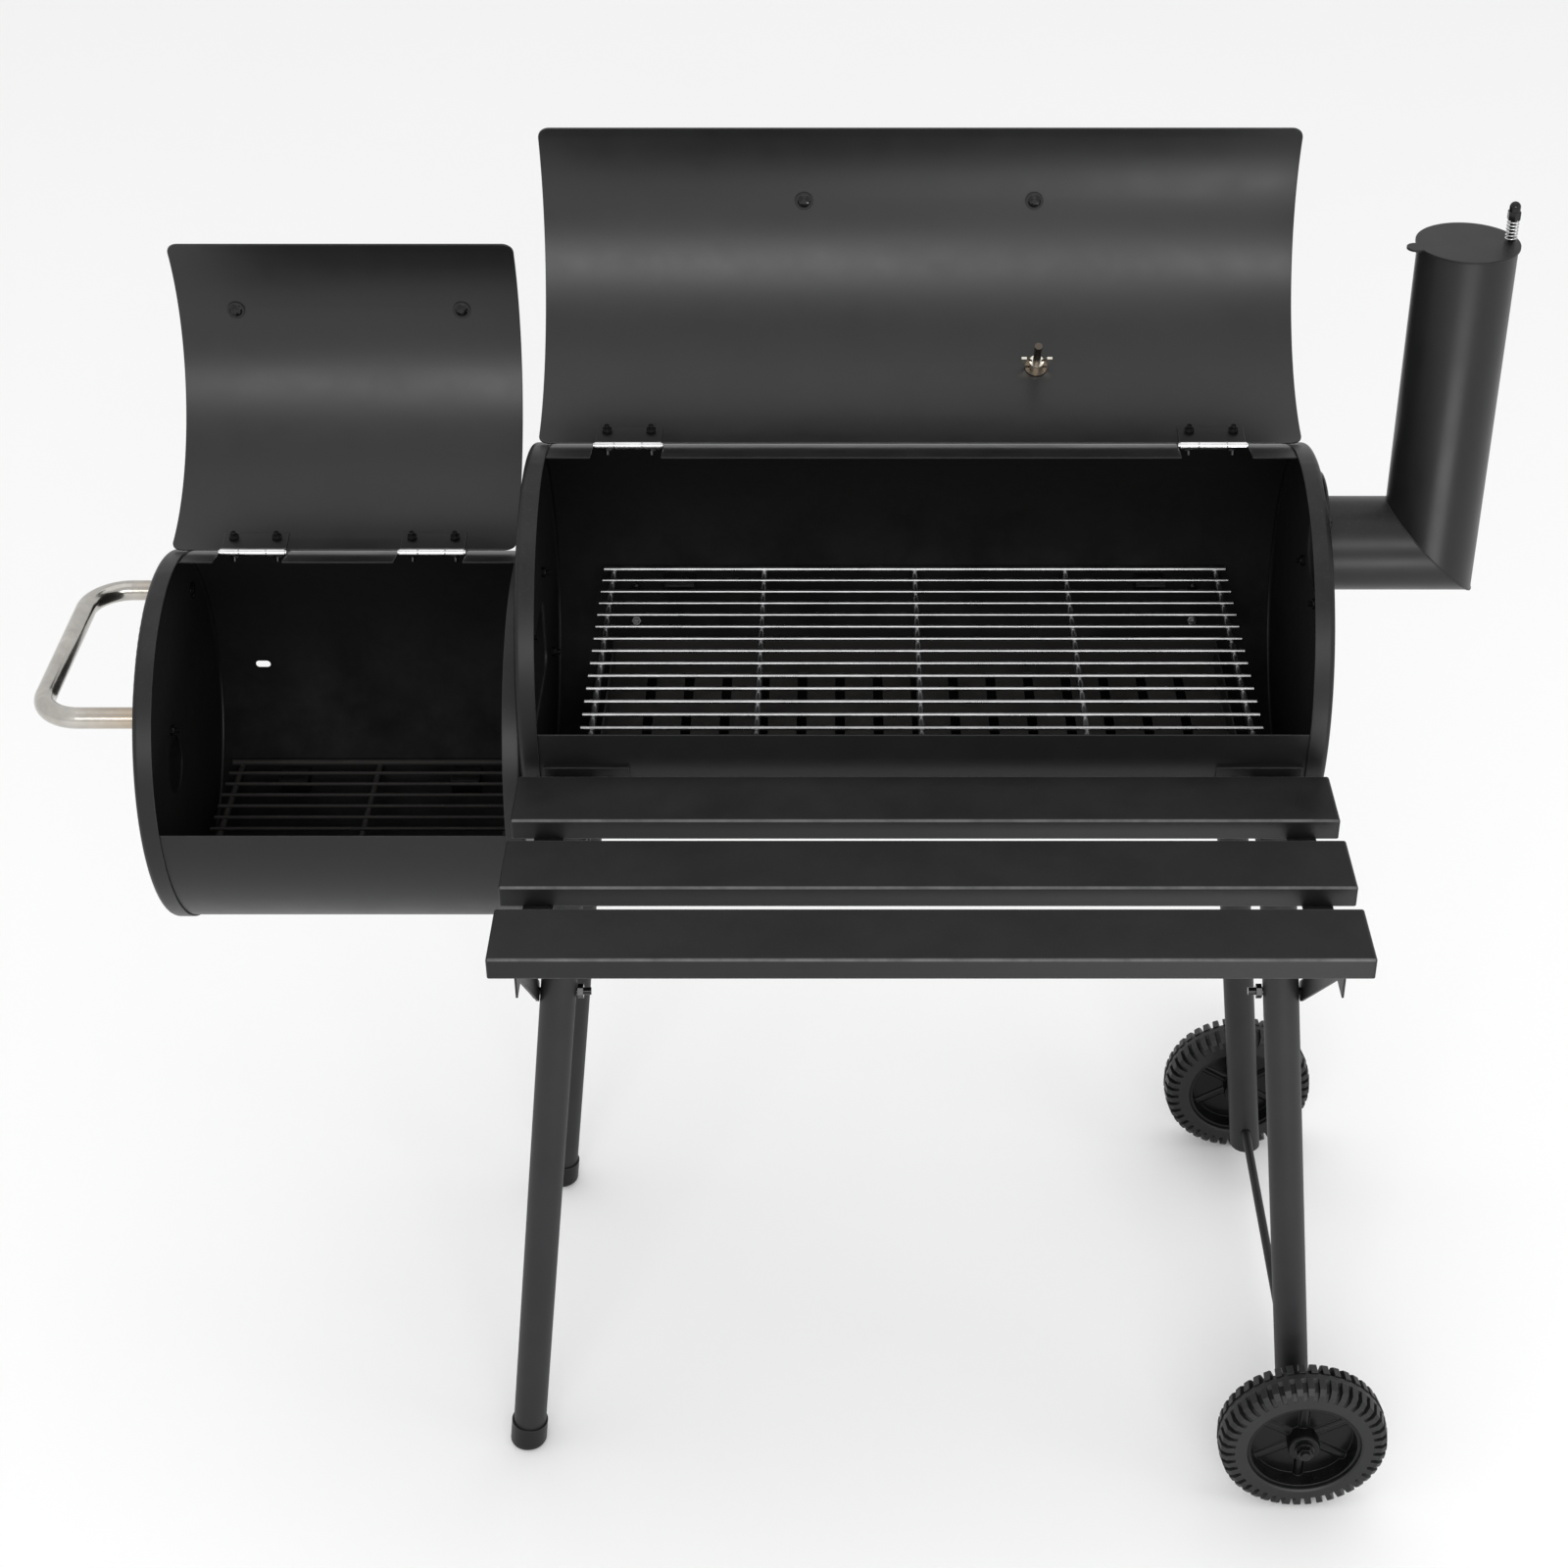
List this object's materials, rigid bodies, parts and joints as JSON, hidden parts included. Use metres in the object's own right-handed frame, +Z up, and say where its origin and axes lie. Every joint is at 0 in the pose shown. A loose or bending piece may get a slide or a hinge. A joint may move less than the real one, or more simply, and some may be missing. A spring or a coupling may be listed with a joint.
{
  "type": "offset smoker",
  "caption": "Barrel charcoal smoker with a lower firebox on one side, mitred chimney with damper, hinged curved lids shown open, slatted front shelf, splayed tube legs, and wheels.",
  "frame": {"origin": "middle of the bounding box, on the ground, with both lids open", "axes": "+X from the firebox to the chimney, +Y to the back, +Z up"},
  "size_m": [1.1008, 0.6438, 1.08],
  "materials": {
    "black_sheet": "satin black powder coat on formed sheet steel",
    "black_slat": "satin black powder coat, fine orange peel",
    "black_tube": "matt charcoal powder coat on steel tube",
    "black_bracket": "satin black paint on pressed steel",
    "bright_tube": "polished stainless tube with fine draw lines",
    "chrome": "bright plated steel",
    "black_screw": "gloss black oxide",
    "fire_steel": "heat-proof black with a scorched bloom",
    "tyre": "moulded black tyre, satin",
    "wheel_plastic": "moulded black plastic",
    "foot_plastic": "moulded black plastic",
    "gauge_case": "bright pressed bezel",
    "gauge_dial": null,
    "gauge_glass": "flat clear glass",
    "gauge_stem": "yellowish zinc plate"
  },
  "bodies": {
    "smoker_frame": {"air_vent_bolt": "black_screw", "axle": "black_bracket", "axle_nuts": "black_screw", "axle_spacers": "black_bracket", "charcoal_tray": "fire_steel", "chimney_pipe": "black_sheet", "chimney_screws": "black_screw", "cooking_grate": "chrome", "damper_acorn_nut": "black_screw", "damper_bolt": "black_screw", "damper_spring": "chrome", "firebox_charcoal_grate": "fire_steel", "firebox_joint_screws": "black_screw", "firebox_left_cap": "black_sheet", "firebox_right_cap": "black_sheet", "firebox_shell": "black_sheet", "foot_caps": "foot_plastic", "frame_bolts": "black_screw", "grate_rests": "black_bracket", "hinge_body_leaves": "chrome", "hinge_body_screws": "black_screw", "hinge_pins": "chrome", "leg_back_left": "black_tube", "leg_back_right": "black_tube", "leg_bracket_screws": "black_screw", "leg_brackets": "black_bracket", "leg_front_left": "black_tube", "leg_front_right": "black_tube", "main_barrel": "black_sheet", "main_left_cap": "black_sheet", "main_right_cap": "black_sheet", "shelf_arms": "black_bracket", "shelf_slat_front": "black_slat", "shelf_slat_middle": "black_slat", "shelf_slat_rear": "black_slat", "shelf_struts": "black_bracket", "side_handle": "bright_tube", "side_handle_screws": "black_screw", "slat_studs": "black_screw"},
    "main_lid": {"main_lid": "black_sheet", "main_lid_handle": "bright_tube", "main_lid_handle_screws": "black_screw", "main_hinge_lid_leaves": "chrome", "main_hinge_lid_screws": "black_screw", "thermometer_case": "gauge_case", "thermometer_dial": "gauge_dial", "thermometer_glass": "gauge_glass", "thermometer_stem": "gauge_stem", "thermometer_wing_nut": "gauge_stem"},
    "firebox_lid": {"firebox_lid": "black_sheet", "firebox_lid_handle": "bright_tube", "firebox_lid_handle_screws": "black_screw", "firebox_hinge_lid_leaves": "chrome", "firebox_hinge_lid_screws": "black_screw"},
    "chimney_damper": {"damper_disc": "black_sheet"},
    "air_vent": {"air_vent_flap": "black_sheet"},
    "front_wheel": {"wheel_front_tyre": "tyre", "wheel_front_rim": "wheel_plastic"},
    "back_wheel": {"wheel_back_tyre": "tyre", "wheel_back_rim": "wheel_plastic"}
  },
  "joints": [
    {"name": "main_lid_hinge", "type": "hinge", "parent": "smoker_frame", "child": "main_lid", "pos_m": [0.1284, 0.10731, 0.85996], "axis": [1, 0, 0], "range_deg": [0, 159]},
    {"name": "firebox_lid_hinge", "type": "hinge", "parent": "smoker_frame", "child": "firebox_lid", "pos_m": [0.1284, 0.1091, 0.7657], "axis": [1, 0, 0], "range_deg": [0, 156.7]},
    {"name": "chimney_damper_pivot", "type": "hinge", "parent": "smoker_frame", "child": "chimney_damper", "pos_m": [0.5439, 0.0484, 1.049], "axis": [0, 0, 1], "continuous": true},
    {"name": "air_vent_pivot", "type": "hinge", "parent": "smoker_frame", "child": "air_vent", "pos_m": [-0.4642, 0.0394, 0.644], "axis": [1, 0, 0], "range_deg": [-110, 110]},
    {"name": "front_wheel_axle", "type": "hinge", "parent": "smoker_frame", "child": "front_wheel", "pos_m": [0.45559, -0.167, 0.071], "axis": [0, 1, 0], "continuous": true},
    {"name": "back_wheel_axle", "type": "hinge", "parent": "smoker_frame", "child": "back_wheel", "pos_m": [0.45559, 0.2968, 0.071], "axis": [0, 1, 0], "continuous": true}
  ]
}
